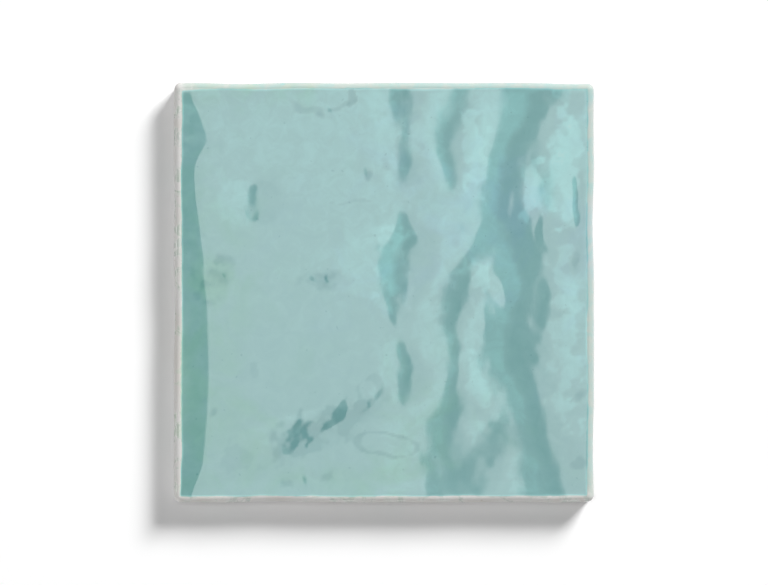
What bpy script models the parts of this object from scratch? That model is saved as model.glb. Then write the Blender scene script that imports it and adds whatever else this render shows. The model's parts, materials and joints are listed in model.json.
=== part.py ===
"""A square glazed wall tile with a hand-pressed look, lying on its back.

Metres, +Z up. The origin is at the middle of the back, on the tops of its ribs, and the glazed
face looks up. The face lies inside a soft raised lip, with broad swells and long upright ripples,
the glaze rolls over a straying outline, and the back is pressed with rows of drafted pockets.
"""

import math

import bmesh
import bpy

SIDE = 0.132  # the longest straight measure across, edge to edge
THICKNESS = 0.0083  # from the rib tops of the back to the level of the face
CORNER_RADIUS = 0.0022  # in plan
WAVER = 0.00045  # how far the outline strays inside its square

ROLL_WIDTH = 0.0020  # the glaze's rounded shoulder, measured inwards from the outline
ROLL_DROP = 0.0017  # and measured down from the crest of the lip
SIDE_RISE = 0.00055  # the crest of the lip at the left and right edges, above the face
SIDE_FLANK = 0.0070  # the steep part of the lip's inner slope there
SIDE_FOOT = 0.0100  # the gentle part inside it
END_RISE = 0.00040  # the same three at the top and bottom edges
END_FLANK = 0.0046
END_FOOT = 0.0070
STEEP_SHARE = 0.62  # how much of a lip's rise its steep part makes
SWELL_HEIGHT = 0.0001  # a full swell of the face

BACK_CHAMFER = 0.0005  # round the foot of the sides
SIDE_DRAFT = 0.0002  # how far the sides lean in, from the shoulder to the foot
BACK_MARGIN = 0.008  # left plain round the pockets of the back, at least
POCKET_SIZE = 0.0112  # the mouth of a pocket
POCKET_DEPTH = 0.0009
POCKET_DRAFT = 0.0005  # how far each wall of a pocket leans in
RIB = 0.0033  # between two pockets

CORNER_STEPS = 2  # facets on each half of a rounded corner
ROLL_STEPS = 5
MIDDLE_CELLS = 42  # across the middle of the face, between the bands along its edges
BAND = (0.0010, 0.0020, 0.0034, 0.0051, 0.0071, 0.0095)  # the finer lines, in from the crest

# Each swell: its place and half sizes as shares of the side, its turn from the upright in
# degrees, and its height as a share of a full swell. A hollow is negative.
SWELLS = (
    (-0.29, 0.06, 0.15, 0.38, 4, 1.0),
    (-0.06, -0.23, 0.12, 0.26, -8, -0.5),
    (-0.33, -0.33, 0.16, 0.14, 30, 0.5),
    (0.02, 0.36, 0.14, 0.12, -20, -0.4),
)

# Each ripple is a ridge with a trough on its right: how steeply the face falls between them, and
# the points its middle runs through from the top down, as shares of the side. A point is its
# height on the face, its place across, and the ripple's half width there.
RIPPLES = (
    (0.036, ((0.56, 0.042, 0.053), (0.44, 0.040, 0.040), (0.30, 0.051, 0.036), (0.22, 0.050, 0.0))),
    (0.020, ((0.56, 0.230, 0.024), (0.45, 0.167, 0.058), (0.36, 0.138, 0.067), (0.29, 0.155, 0.035),
             (0.23, 0.161, 0.0))),
    (0.020, ((0.56, 0.351, 0.098), (0.45, 0.340, 0.086), (0.39, 0.312, 0.062), (0.30, 0.282, 0.056),
             (0.21, 0.268, 0.056), (0.13, 0.300, 0.093), (0.06, 0.309, 0.080), (0.0, 0.305, 0.040),
             (-0.05, 0.288, 0.055), (-0.14, 0.291, 0.090), (-0.23, 0.318, 0.065),
             (-0.30, 0.347, 0.055), (-0.40, 0.368, 0.062), (-0.56, 0.380, 0.068))),
    (0.040, ((0.18, 0.048, 0.0), (0.14, 0.045, 0.060), (0.07, 0.021, 0.070), (0.0, 0.018, 0.050),
             (-0.08, 0.027, 0.0))),
    (0.036, ((-0.11, 0.041, 0.0), (-0.15, 0.043, 0.029), (-0.20, 0.048, 0.035),
             (-0.24, 0.050, 0.026), (-0.285, 0.054, 0.0))),
    (0.022, ((0.13, 0.218, 0.0), (0.07, 0.178, 0.042), (0.0, 0.165, 0.046), (-0.14, 0.160, 0.040),
             (-0.22, 0.164, 0.030), (-0.30, 0.140, 0.072), (-0.37, 0.131, 0.080),
             (-0.56, 0.125, 0.068))),
    (0.016, ((-0.29, 0.261, 0.0), (-0.325, 0.256, 0.047), (-0.37, 0.237, 0.066),
             (-0.43, 0.212, 0.046), (-0.56, 0.209, 0.042))),
)

GLAZE_COLOUR = (0.205, 0.402, 0.413, 1.0)
GLAZE_ROUGHNESS = 0.08

HALF = SIDE / 2
CREST = HALF - ROLL_WIDTH
SHOULDER = THICKNESS - ROLL_DROP


def clear_scene():
    for obj in list(bpy.data.objects):
        bpy.data.objects.remove(obj, do_unlink=True)


def lip_height(inside, rise, flank, foot):
    """The height of one edge's lip, this far inside its crest: steep first, then easing out."""
    steep = min(max(inside / flank, 0.0), 1.0)
    gentle = min(max(inside / (flank + foot), 0.0), 1.0)
    steep_fall = 0.5 + 0.5 * math.cos(math.pi * steep)
    gentle_fall = (1 - gentle) ** 2 * (1 + 2 * gentle)
    return rise * (STEEP_SHARE * steep_fall + (1 - STEEP_SHARE) * gentle_fall)


def swell_height(x, y, place_x, place_y, half_width, half_length, turn, height):
    """The height of one long swell at a point of the face."""
    turn = math.radians(turn)
    from_x = x / SIDE - place_x
    from_y = y / SIDE - place_y
    across = from_x * math.cos(turn) + from_y * math.sin(turn)
    along = from_y * math.cos(turn) - from_x * math.sin(turn)
    share = math.exp(-((across / half_width) ** 2) - (along / half_length) ** 2)
    return SWELL_HEIGHT * height * share


def slopes(points, item):
    """The slope of a smooth line through the points, at each of them."""
    last = len(points) - 1
    found = []
    for place in range(len(points)):
        before = points[max(place - 1, 0)]
        after = points[min(place + 1, last)]
        found.append((after[item] - before[item]) / (after[0] - before[0]))
    return found


def through(points, item, height):
    """The value of a smooth line through the points, at a height between the first and last."""
    rates = slopes(points, item)
    place = 0
    while height < points[place + 1][0]:
        place += 1
    start, end = points[place], points[place + 1]
    span = end[0] - start[0]
    share = (height - start[0]) / span
    eased = share * share * (3 - 2 * share)
    bend_start = share * (1 - share) ** 2 * rates[place]
    bend_end = share * share * (share - 1) * rates[place + 1]
    return start[item] + (end[item] - start[item]) * eased + span * (bend_start + bend_end)


def ripple_height(x, y, slope, points):
    """The height of one ripple at a point of the face: up on its left, down on its right."""
    height = y / SIDE
    if not points[-1][0] < height < points[0][0]:
        return 0.0
    width = through(points, 2, height)
    if width <= 0.0:
        return 0.0
    aside = x / SIDE - through(points, 1, height)
    return -slope * SIDE * aside * math.exp(-((aside / width) ** 2))


def face_height(x, y):
    """The height of the glazed face above the back, at a point inside the crest of the lip."""
    side_lip = lip_height(CREST - abs(x), SIDE_RISE, SIDE_FLANK, SIDE_FOOT)
    end_lip = lip_height(CREST - abs(y), END_RISE, END_FLANK, END_FOOT)
    lip = side_lip + end_lip - side_lip * end_lip / max(SIDE_RISE, END_RISE)
    swells = sum(swell_height(x, y, *shape) for shape in SWELLS)
    ripples = sum(ripple_height(x, y, *shape) for shape in RIPPLES)
    return THICKNESS + lip + swells + ripples


def stray(along, phase):
    """How far an edge strays inside its straight line, at a place along it. It touches the line."""
    turn = math.pi * along / SIDE
    wander = 0.6 * math.sin(2.3 * turn + phase) + 0.4 * math.sin(5.2 * turn - 2 * phase)
    return WAVER * wander**2


def wavered(x, y):
    """A point of the plan, moved with the straying of the nearest edges."""
    share_x = (x / HALF) ** 3
    share_y = (y / HALF) ** 3
    stray_x = stray(y, 0.6 if x > 0 else 2.2)
    stray_y = stray(x, 1.3 if y > 0 else 3.4)
    return x - share_x * stray_x, y - share_y * stray_y


def face_lines():
    """Where the lines of the face's grid run, from one crest to the other."""
    band = [0.0, *BAND]
    reach = CREST - band[-1]
    middle = [reach * (2 * step / MIDDLE_CELLS - 1) for step in range(1, MIDDLE_CELLS)]
    left = [inset - CREST for inset in band]
    right = [-line for line in reversed(left)]
    return left + middle + right


def rim_point(column, row, lines, inset):
    """The plan of a point of the rim that lies this far inside the outline.

    Near a corner the points share out its arc. Elsewhere each stays on its grid line.
    """
    last = len(lines) - 1
    centre = HALF - CORNER_RADIUS
    radius = CORNER_RADIUS - inset
    from_column = min(column, last - column)
    from_row = min(row, last - row)
    side_x = 1 if 2 * column > last else -1
    side_y = 1 if 2 * row > last else -1
    if max(from_column, from_row) <= CORNER_STEPS:
        angle = math.radians(45 + 45 * (from_column - from_row) / CORNER_STEPS)
        x = side_x * (centre + radius * math.cos(angle))
        y = side_y * (centre + radius * math.sin(angle))
        return wavered(x, y)
    if from_column == 0:
        return wavered(side_x * (HALF - inset), lines[row])
    return wavered(lines[column], side_y * (HALF - inset))


def grid_places(verts, lines):
    """Each vertex of a new grid with its column and row."""
    last = len(lines) - 1
    for vert in verts:
        column = round((vert.co.x + 1) / 2 * last)
        row = round((vert.co.y + 1) / 2 * last)
        yield vert, column, row


def add_face(bm, marks, lines):
    """The glazed face as a grid, raised to its height, with its rim on the crest of the lip."""
    last = len(lines) - 1
    made = bmesh.ops.create_grid(bm, x_segments=last, y_segments=last, size=1.0)
    for vert, column, row in grid_places(made["verts"], lines):
        vert[marks[0]] = column
        vert[marks[1]] = row
        height = face_height(lines[column], lines[row])
        if column in (0, last) or row in (0, last):
            vert.co = (*rim_point(column, row, lines, ROLL_WIDTH), height)
        else:
            vert.co = (*wavered(lines[column], lines[row]), height)


def edge_section():
    """The section of the edge below the crest, outwards and down.

    Each ring is how far it lies inside the outline, how much of the crest's height over the
    shoulder it keeps, and the level that it is measured from.
    """
    section = []
    for step in range(1, ROLL_STEPS + 1):
        angle = math.radians(90 * step / ROLL_STEPS)
        section.append((ROLL_WIDTH * (1 - math.sin(angle)), math.cos(angle), SHOULDER))
    section.append((SIDE_DRAFT, 0.0, BACK_CHAMFER))
    section.append((SIDE_DRAFT + BACK_CHAMFER, 0.0, 0.0))
    return section


def add_edge(bm, marks, lines):
    """The rolled shoulder, the sides and the foot, extruded from the rim ring by ring."""
    rim = [edge for edge in bm.edges if edge.is_boundary]
    crests = {}
    for vert in {vert for edge in rim for vert in edge.verts}:
        crests[vert[marks[0]], vert[marks[1]]] = vert.co.z
    for inset, share, level in edge_section():
        made = bmesh.ops.extrude_edge_only(bm, edges=rim)["geom"]
        for vert in (item for item in made if isinstance(item, bmesh.types.BMVert)):
            column, row = vert[marks[0]], vert[marks[1]]
            x, y = rim_point(column, row, lines, inset)
            vert.co = (x, y, level + share * (crests[column, row] - SHOULDER))
        rim = [item for item in made if isinstance(item, bmesh.types.BMEdge) and item.is_boundary]
    return rim


def back_lines():
    """Where the walls of the pockets stand along a row, and the edge of the pressed field.

    A row has as many pairs of pockets as fit inside the margin, so a rib crosses the middle.
    """
    pitch = POCKET_SIZE + RIB
    pairs = int((HALF - BACK_MARGIN + RIB / 2) / pitch)
    field = pairs * pitch + RIB / 2
    lines = [-field]
    for pocket in range(2 * pairs):
        start = RIB - field + pocket * pitch
        lines += [start, start + POCKET_SIZE]
    return [*lines, field]


def add_back(bm, foot):
    """The ribbed back: a grid whose pockets are pressed in, bridged to the foot of the sides."""
    lines = back_lines()
    last = len(lines) - 1
    made = bmesh.ops.create_grid(bm, x_segments=last, y_segments=last, size=1.0)
    for vert, column, row in grid_places(made["verts"], lines):
        vert.co = (lines[column], lines[row], 0.0)
    grid = list({face for vert in made["verts"] for face in vert.link_faces})
    bmesh.ops.reverse_faces(bm, faces=grid)
    border = [edge for face in grid for edge in face.edges if edge.is_boundary]
    bmesh.ops.bridge_loops(bm, edges=foot + border)
    pockets = [face for face in grid if is_pocket(face)]
    bmesh.ops.inset_individual(bm, faces=pockets, thickness=POCKET_DRAFT, depth=-POCKET_DEPTH)


def is_pocket(face):
    """Whether a face of the back's grid is the mouth of a pocket: a square of its size."""
    mouth = POCKET_SIZE**2
    return abs(face.calc_area() - mouth) < 0.01 * mouth


def glaze_material():
    material = bpy.data.materials.new("glaze")
    material.use_nodes = True
    shader = material.node_tree.nodes["Principled BSDF"]
    shader.inputs["Base Color"].default_value = GLAZE_COLOUR
    shader.inputs["Roughness"].default_value = GLAZE_ROUGHNESS
    shader.inputs["Metallic"].default_value = 0.0
    return material


def build_tile():
    bm = bmesh.new()
    marks = (bm.verts.layers.int.new("column"), bm.verts.layers.int.new("row"))
    lines = face_lines()
    add_face(bm, marks, lines)
    foot = add_edge(bm, marks, lines)
    add_back(bm, foot)
    bmesh.ops.recalc_face_normals(bm, faces=bm.faces)
    mesh = bpy.data.meshes.new("tile")
    bm.to_mesh(mesh)
    bm.free()
    mesh.materials.append(glaze_material())
    mesh.shade_smooth()
    mesh.set_sharp_from_angle(angle=math.radians(35))
    tile = bpy.data.objects.new("tile", mesh)
    bpy.context.scene.collection.objects.link(tile)
    return tile


def main():
    clear_scene()
    build_tile()


if __name__ == "__main__":
    main()
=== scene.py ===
"""Looks of a square glazed wall tile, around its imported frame.

The tile is modelled again at the frame's size, with the fine relief of a hand-pressed face, and
dressed with its glaze and its bare fired body. Metres, +Z up. The tile lies on its back on a
plain pale floor, and the camera looks straight down on it.
"""

import json
import logging
import math
from dataclasses import dataclass, field
from enum import Enum

import bpy
import numpy as np
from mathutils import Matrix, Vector
from mathutils.bvhtree import BVHTree

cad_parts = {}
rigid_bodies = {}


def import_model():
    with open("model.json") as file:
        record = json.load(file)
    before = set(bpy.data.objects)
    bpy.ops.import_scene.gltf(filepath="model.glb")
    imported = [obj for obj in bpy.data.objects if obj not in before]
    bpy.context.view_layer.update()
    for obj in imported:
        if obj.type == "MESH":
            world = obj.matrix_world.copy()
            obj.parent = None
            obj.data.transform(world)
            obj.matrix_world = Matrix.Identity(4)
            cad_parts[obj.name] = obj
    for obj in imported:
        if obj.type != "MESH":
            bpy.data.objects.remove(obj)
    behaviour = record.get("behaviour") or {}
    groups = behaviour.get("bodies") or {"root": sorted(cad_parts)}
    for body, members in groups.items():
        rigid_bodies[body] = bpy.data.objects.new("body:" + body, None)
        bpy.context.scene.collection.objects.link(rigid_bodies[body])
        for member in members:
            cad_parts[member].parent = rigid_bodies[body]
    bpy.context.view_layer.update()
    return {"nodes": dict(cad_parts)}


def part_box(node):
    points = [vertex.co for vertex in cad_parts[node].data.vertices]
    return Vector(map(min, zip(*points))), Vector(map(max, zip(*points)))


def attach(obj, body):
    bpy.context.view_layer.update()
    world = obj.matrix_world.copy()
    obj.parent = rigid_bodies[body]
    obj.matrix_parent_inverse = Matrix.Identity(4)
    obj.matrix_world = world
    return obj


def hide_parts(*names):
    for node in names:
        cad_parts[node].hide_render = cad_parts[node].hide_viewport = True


MM = 0.001
IMAGE = (768, 585)
TINY = 1e-9

log = logging.getLogger("wall_tile")

Socket = bpy.types.NodeSocket
Pair = tuple[float, float]
Place = tuple[float, float, float]
Colour = tuple[float, float, float]
Points = tuple[tuple[float, ...], ...]
Plan = tuple[np.ndarray, np.ndarray]
Value = float | Colour | Socket


class Slot(Enum):
    """The finishes of the piece, in the order of its material slots."""

    GLAZE = 0
    BISCUIT = 1


class Film(Enum):
    """How much glaze covers the body, as values of the film attribute."""

    BARE = 0.0
    FULL = 1.0


def ease(low: float, high: float, value: np.ndarray) -> np.ndarray:
    """A smooth step from 0 at low to 1 at high.

    Args:
        low: where the step starts.
        high: where it ends.
        value: the values to step.

    Returns:
        The stepped values, each between 0 and 1.
    """
    share = np.clip((value - low) / (high - low), 0.0, 1.0)
    return share * share * (3 - 2 * share)


def smoother(share: np.ndarray) -> np.ndarray:
    """A share from 0 to 1, stepped so that its bend is smooth at both ends too."""
    return share**3 * (share * (6 * share - 15) + 10)


def turned(x: np.ndarray, y: np.ndarray, angle: float) -> Plan:
    """Points of the plan, read along axes turned to the left by an angle in radians."""
    cos, sin = math.cos(angle), math.sin(angle)
    return x * cos + y * sin, y * cos - x * sin


def total(forms: tuple, x: np.ndarray, y: np.ndarray) -> np.ndarray:
    """The sum of some clouds, swells or ripples at points of the plan."""
    return sum(form.at(x, y) for form in forms)


def through(points: Points, item: int, place: np.ndarray) -> np.ndarray:
    """A smooth line through one item of some points.

    Args:
        points: the points, whose first item is where each stands, from the highest down.
        item: which item of the points the line runs through.
        place: the places to read the line at.

    Returns:
        The item at each place, held at its end value beyond the ends.
    """
    knots = np.array(points[::-1])
    last = len(knots) - 1
    before = knots[np.maximum(np.arange(last + 1) - 1, 0)]
    after = knots[np.minimum(np.arange(last + 1) + 1, last)]
    rates = (after[:, item] - before[:, item]) / (after[:, 0] - before[:, 0])
    place = np.clip(place, knots[0, 0], knots[-1, 0])
    start = np.clip(np.searchsorted(knots[:, 0], place, side="right") - 1, 0, last - 1)
    span = knots[start + 1, 0] - knots[start, 0]
    share = (place - knots[start, 0]) / span
    bend = share * (1 - share) ** 2 * rates[start]
    bend = bend + share * share * (share - 1) * rates[start + 1]
    rise = knots[start + 1, item] - knots[start, item]
    return knots[start, item] + rise * share * share * (3 - 2 * share) + span * bend


def places(piece: bpy.types.Object) -> np.ndarray:
    """The place of every vertex of a mesh.

    Args:
        piece: the mesh's object.

    Returns:
        The places, one row each.
    """
    flat = np.empty(3 * len(piece.data.vertices))
    piece.data.vertices.foreach_get("co", flat)
    return flat.reshape(-1, 3)


def add_grid(cells: int, half: float) -> bpy.types.Object:
    """Adds a square grid of even cells, flat and centred.

    Args:
        cells: how many there are along each side.
        half: half the length of a side.

    Returns:
        The new object, which is the only one selected.
    """
    bpy.ops.object.select_all(action="DESELECT")
    bpy.ops.mesh.primitive_grid_add(x_subdivisions=cells, y_subdivisions=cells, size=2 * half,
                                    location=(0, 0, 0), calc_uvs=False)
    return bpy.context.object


def to_lines(flat: np.ndarray, half: float, lines: np.ndarray) -> Plan:
    """Moves the vertices of an even grid to lines that stand uneven.

    Args:
        flat: the places of the vertices, one row each.
        half: half the length of the grid's side.
        lines: where the lines stand, the same across and up.

    Returns:
        The new places across and up.
    """
    cell = np.rint((flat / half + 1) / 2 * (len(lines) - 1)).astype(int)
    return lines[cell[:, 0]], lines[cell[:, 1]]


@dataclass(frozen=True)
class Cloud:
    """Soft uneven noise over the plan, the same each run.

    cell is the size of its lumps, height how far it swings to each side, and seed its pattern,
    which repeats after count lumps. The seed and skew turn the pattern, in radians, so that
    clouds laid over each other don't line up.
    """

    cell: float
    height: float
    seed: int
    count: int = 96
    skew: float = 0.5

    def at(self, x: np.ndarray, y: np.ndarray) -> np.ndarray:
        """The noise at points of the plan.

        Args:
            x: places across.
            y: places up.

        Returns:
            A value for each point, between -height and height.
        """
        table = np.random.default_rng(self.seed).uniform(-1, 1, (self.count + 1,) * 2)
        along = turned(x, y, self.skew + self.seed)
        u, v = (place / self.cell + self.count / 2 for place in along)
        column, row = np.floor(u).astype(int), np.floor(v).astype(int)
        across, up = smoother(u - column), smoother(v - row)
        column, row = column % self.count, row % self.count
        low = table[column, row] * (1 - across) + table[column + 1, row] * across
        high = table[column, row + 1] * (1 - across) + table[column + 1, row + 1] * across
        return self.height * (low * (1 - up) + high * up)


@dataclass(frozen=True)
class Lip:
    """The soft raised rim of the face along an edge: an even steep flank, then a long foot.

    steep_share is how much of the rise the flank takes, and bend how softly it ends.
    """

    rise: float
    flank: float
    foot: float
    steep_share: float = 0.62
    bend: float = 0.08

    def height(self, inside: np.ndarray, reach: np.ndarray) -> np.ndarray:
        """The height of the lip.

        Args:
            inside: how far each point lies inside the crest.
            reach: the length of the flank there, as a share of the usual one.

        Returns:
            The height above the face at each point.
        """
        left = 1 - inside / (self.flank * reach)
        steep = 0.5 * (left + np.hypot(left, self.bend)) * self.steep_share
        gentle = np.clip(inside / (self.flank + self.foot), 0.0, 1.0)
        return self.rise * (steep + (1 - self.steep_share) * (1 - gentle) ** 2 * (1 + 2 * gentle))


@dataclass(frozen=True)
class Swell:
    """An oval of soft height: a rise or hollow of the face, or more or less of something on it.

    place and half_size are shares of the side, and turn is in degrees.
    """

    place: Pair
    half_size: Pair
    height: float
    turn: float = 0.0

    def radius(self, x: np.ndarray, y: np.ndarray) -> np.ndarray:
        """How far out of the middle points lie, as shares of the way to the oval."""
        across, along = turned(x - self.place[0], y - self.place[1], math.radians(self.turn))
        return np.hypot(across / self.half_size[0], along / self.half_size[1])

    def at(self, x: np.ndarray, y: np.ndarray) -> np.ndarray:
        """The height at points of the plan, which are given as shares of the side."""
        return self.height * np.exp(-self.radius(x, y) ** 2)


@dataclass(frozen=True)
class Patch(Swell):
    """A patch of more or less glaze with a ragged edge: an oval, or a thin oval line.

    Some patches are real stains, and some are painted reflection and painted shade. height is
    how much more glaze lies there, and line the width of the line as a share of the oval's half
    size, or 0 for a full oval. The patch starts where the oval's own share is edge and is whole
    where it is soft more. Below a share of fray its raggedness dies away.
    """

    soft: float = 0.25
    line: float = 0.0
    edge: float = 0.30
    fray: float = 0.20

    def over(self, x: np.ndarray, y: np.ndarray, ragged: np.ndarray) -> np.ndarray:
        """The glaze that the patch adds, or takes away, at points of the plan.

        Args:
            x: places across, as shares of the side.
            y: places up.
            ragged: how far the edge strays at each point.

        Returns:
            The added glaze at each point.
        """
        radius = self.radius(x, y)
        if self.line:
            radius = np.abs(radius - 1) / self.line
        share = np.exp(-(radius**2))
        frayed = share + ragged * ease(0.0, self.fray, share)
        return self.height * ease(self.edge, self.edge + self.soft, frayed)


@dataclass(frozen=True)
class Ripple:
    """A long ridge with a trough on its right.

    slope is how steeply the face falls between them. The points of its middle run from the top
    down: height on the face, place across and half width, as shares of the side. taper is how far
    in from its ends, as a share of the side, it reaches its full slope, and least_width keeps
    its half width above nothing.
    """

    slope: float
    points: Points
    taper: float = 0.0
    least_width: float = 1e-4

    def at(self, x: np.ndarray, y: np.ndarray) -> np.ndarray:
        """The height at points of the plan.

        Args:
            x: places across, as shares of the side.
            y: places up.

        Returns:
            The height at each point, as a share of the side.
        """
        top, end = self.points[0][0], self.points[-1][0]
        width = np.maximum(through(self.points, 2, y), self.least_width)
        aside = x - through(self.points, 1, y)
        slope = self.slope
        if self.taper:
            slope = slope * ease(0.0, self.taper, top - y) * ease(0.0, self.taper, y - end)
        height = -slope * aside * np.exp(-((aside / width) ** 2))
        return np.where((y > end) & (y < top), height, 0.0)


@dataclass(frozen=True)
class Relief:
    """The height of the face inside the crest of the lip, broad forms and fine ones.

    Swells are broad and low, ripples are the long streaks, marks the short ones, dimples the
    pits, and scuffs the places where the rough clouds of scuff show. left_reach gives the height
    on the face and the length of the left lip's flank there, as a share of the usual one, and
    right_reach the right lip's share, and the swing, rate and phase of its wave. The bottom lip
    sinks towards its left end, between the shares low_span of the way there, by low_foot of its
    height. The clouds of sway move the relief across and up, those of vigour make it stronger
    and weaker, and those of skin roughen the whole face a little.
    """

    side: float
    crest: float
    level: float
    left_lip: Lip = Lip(rise=0.55 * MM, flank=6.2 * MM, foot=10.8 * MM, steep_share=0.93)
    right_lip: Lip = Lip(rise=0.55 * MM, flank=7.0 * MM, foot=10.0 * MM)
    end_lip: Lip = Lip(rise=0.40 * MM, flank=4.6 * MM, foot=7.0 * MM)
    swells: tuple[Swell, ...] = (
        Swell((-0.26, 0.06), (0.13, 0.38), 0.090 * MM, 4),
        Swell((-0.06, -0.23), (0.12, 0.26), -0.050 * MM, -8),
        Swell((-0.33, -0.33), (0.16, 0.14), 0.050 * MM, 30),
        Swell((0.02, 0.36), (0.14, 0.12), -0.040 * MM, -20),
        Swell((-0.385, -0.20), (0.060, 0.22), -0.150 * MM),
        Swell((-0.400, 0.35), (0.050, 0.06), -0.080 * MM),
        Swell((0.392, 0.08), (0.080, 0.44), -0.060 * MM),
    )
    ripples: tuple[Ripple, ...] = (
        Ripple(0.033, ((0.56, 0.045, 0.060), (0.45, 0.043, 0.052), (0.40, 0.050, 0.044),
                       (0.33, 0.054, 0.042), (0.27, 0.047, 0.030), (0.22, 0.042, 0.018)),
               taper=0.08),
        Ripple(0.023, ((0.56, 0.230, 0.024), (0.45, 0.167, 0.058), (0.36, 0.138, 0.067),
                       (0.29, 0.155, 0.035), (0.23, 0.161, 0.020)), taper=0.04),
        Ripple(0.030, ((0.56, 0.351, 0.098), (0.45, 0.340, 0.086), (0.39, 0.312, 0.062),
                       (0.30, 0.282, 0.056), (0.21, 0.268, 0.058), (0.14, 0.294, 0.104),
                       (0.07, 0.309, 0.092), (0.0, 0.326, 0.050), (-0.05, 0.303, 0.070),
                       (-0.14, 0.287, 0.096), (-0.23, 0.318, 0.066), (-0.30, 0.347, 0.056),
                       (-0.40, 0.371, 0.064), (-0.56, 0.390, 0.070))),
        Ripple(0.042, ((0.215, 0.040, 0.012), (0.165, 0.043, 0.034), (0.135, 0.043, 0.060),
                       (0.105, 0.029, 0.070), (0.055, 0.024, 0.066), (0.005, 0.020, 0.054),
                       (-0.025, 0.026, 0.030), (-0.070, 0.025, 0.020), (-0.100, 0.025, 0.012)),
               taper=0.04),
        Ripple(0.037, ((-0.10, 0.041, 0.028), (-0.15, 0.043, 0.036), (-0.20, 0.048, 0.037),
                       (-0.24, 0.050, 0.031), (-0.295, 0.054, 0.023)), taper=0.05),
        Ripple(0.030, ((0.195, 0.250, 0.018), (0.145, 0.237, 0.034), (0.105, 0.221, 0.044),
                       (0.065, 0.200, 0.047), (0.0, 0.168, 0.046), (-0.14, 0.160, 0.040),
                       (-0.22, 0.164, 0.030), (-0.30, 0.140, 0.070), (-0.37, 0.131, 0.078),
                       (-0.56, 0.125, 0.066)), taper=0.03),
        Ripple(0.022, ((-0.28, 0.270, 0.030), (-0.325, 0.264, 0.062), (-0.36, 0.250, 0.080),
                       (-0.40, 0.228, 0.070), (-0.44, 0.208, 0.064), (-0.56, 0.205, 0.058)),
               taper=0.03),
    )
    marks: tuple[Ripple, ...] = (
        Ripple(0.095, ((0.300, 0.456, 0.014), (0.270, 0.455, 0.018), (0.190, 0.455, 0.018),
                       (0.145, 0.457, 0.013)), taper=0.03),
        Ripple(0.034, ((0.040, 0.381, 0.018), (-0.01, 0.383, 0.030), (-0.05, 0.382, 0.030),
                       (-0.10, 0.380, 0.018)), taper=0.04),
        Ripple(0.056, ((0.285, -0.317, 0.030), (0.250, -0.316, 0.043), (0.200, -0.316, 0.045),
                       (0.150, -0.317, 0.030)), taper=0.03),
        Ripple(-0.024, ((0.255, 0.303, 0.010), (0.225, 0.304, 0.014), (0.180, 0.303, 0.014),
                        (0.150, 0.302, 0.010)), taper=0.04),
        Ripple(0.050, ((0.190, 0.374, 0.008), (0.160, 0.374, 0.012), (0.110, 0.370, 0.014)),
               taper=0.03),
        Ripple(-0.014, ((0.300, 0.355, 0.034), (0.250, 0.352, 0.040), (0.190, 0.352, 0.030),
                        (0.140, 0.350, 0.016)), taper=0.05),
        Ripple(-0.034, ((0.045, 0.258, 0.018), (0.010, 0.270, 0.024), (-0.030, 0.284, 0.018),
                        (-0.055, 0.288, 0.012)), taper=0.03),
        Ripple(0.030, ((-0.005, 0.238, 0.010), (-0.045, 0.246, 0.016), (-0.090, 0.244, 0.016),
                       (-0.130, 0.238, 0.010)), taper=0.04),
        Ripple(0.047, ((-0.285, -0.165, 0.022), (-0.315, -0.185, 0.054), (-0.345, -0.208, 0.074),
                       (-0.370, -0.226, 0.054), (-0.400, -0.240, 0.020)), taper=0.02),
        Ripple(0.031, ((-0.262, -0.094, 0.024), (-0.285, -0.110, 0.056), (-0.305, -0.122, 0.062),
                       (-0.335, -0.142, 0.026)), taper=0.02),
        Ripple(0.032, ((-0.205, 0.006, 0.010), (-0.232, 0.000, 0.021), (-0.262, -0.020, 0.025),
                       (-0.300, -0.058, 0.015)), taper=0.02),
    )
    dimples: tuple[Swell, ...] = (
        Swell((-0.034, 0.282), (0.008, 0.012), -0.040 * MM, 20),
        Swell((0.456, 0.074), (0.007, 0.017), -0.040 * MM),
        Swell((0.463, -0.245), (0.014, 0.008), -0.040 * MM),
        Swell((-0.235, -0.456), (0.010, 0.010), -0.050 * MM),
    )
    scuffs: tuple[Swell, ...] = (
        Swell((-0.203, -0.345), (0.062, 0.044), 0.70, 40),
        Swell((-0.125, -0.300), (0.056, 0.036), 0.42, 15),
        Swell((-0.045, -0.268), (0.060, 0.028), 0.50, 18),
        Swell((0.055, -0.372), (0.030, 0.022), 0.45, -30),
        Swell((-0.147, 0.029), (0.040, 0.014), 0.85, -3),
        Swell((-0.135, 0.440), (0.085, 0.014), 0.60, 2),
        Swell((-0.180, -0.450), (0.070, 0.020), 0.55, 6),
        Swell((-0.390, 0.050), (0.035, 0.040), 0.80, 30),
        Swell((0.30, 0.13), (0.060, 0.050), 0.14),
        Swell((0.24, -0.06), (0.040, 0.060), 0.18),
        Swell((0.25, -0.30), (0.040, 0.060), 0.16),
    )
    scuff: tuple[Cloud, ...] = (Cloud(3.4 * MM, 0.125 * MM, 74), Cloud(1.8 * MM, 0.036 * MM, 72))
    left_reach: Points = (
        (0.467, 0.60), (0.409, 1.12), (0.358, 1.36), (0.300, 0.74), (0.242, 0.74), (0.155, 0.98),
        (0.082, 1.20), (-0.173, 1.46), (-0.318, 1.36), (-0.413, 1.12), (-0.445, 0.82),
        (-0.470, 0.62), (-0.490, 0.50))
    right_reach: tuple[float, ...] = (0.86, 0.13, 10.2, 1.0)
    low_foot: float = 0.7
    low_span: Pair = (0.70, 0.86)
    sway_across: tuple[Cloud, ...] = (
        Cloud(6 * MM, 0.8 * MM, 3), Cloud(3 * MM, 0.35 * MM, 5), Cloud(1.4 * MM, 0.10 * MM, 21))
    sway_up: tuple[Cloud, ...] = (Cloud(8 * MM, 1.3 * MM, 4),)
    vigour: tuple[Cloud, ...] = (Cloud(8 * MM, 0.20, 14), Cloud(3.5 * MM, 0.12, 15))
    skin: tuple[Cloud, ...] = (
        Cloud(7 * MM, 0.010 * MM, 11), Cloud(3 * MM, 0.0025 * MM, 12))

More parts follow.
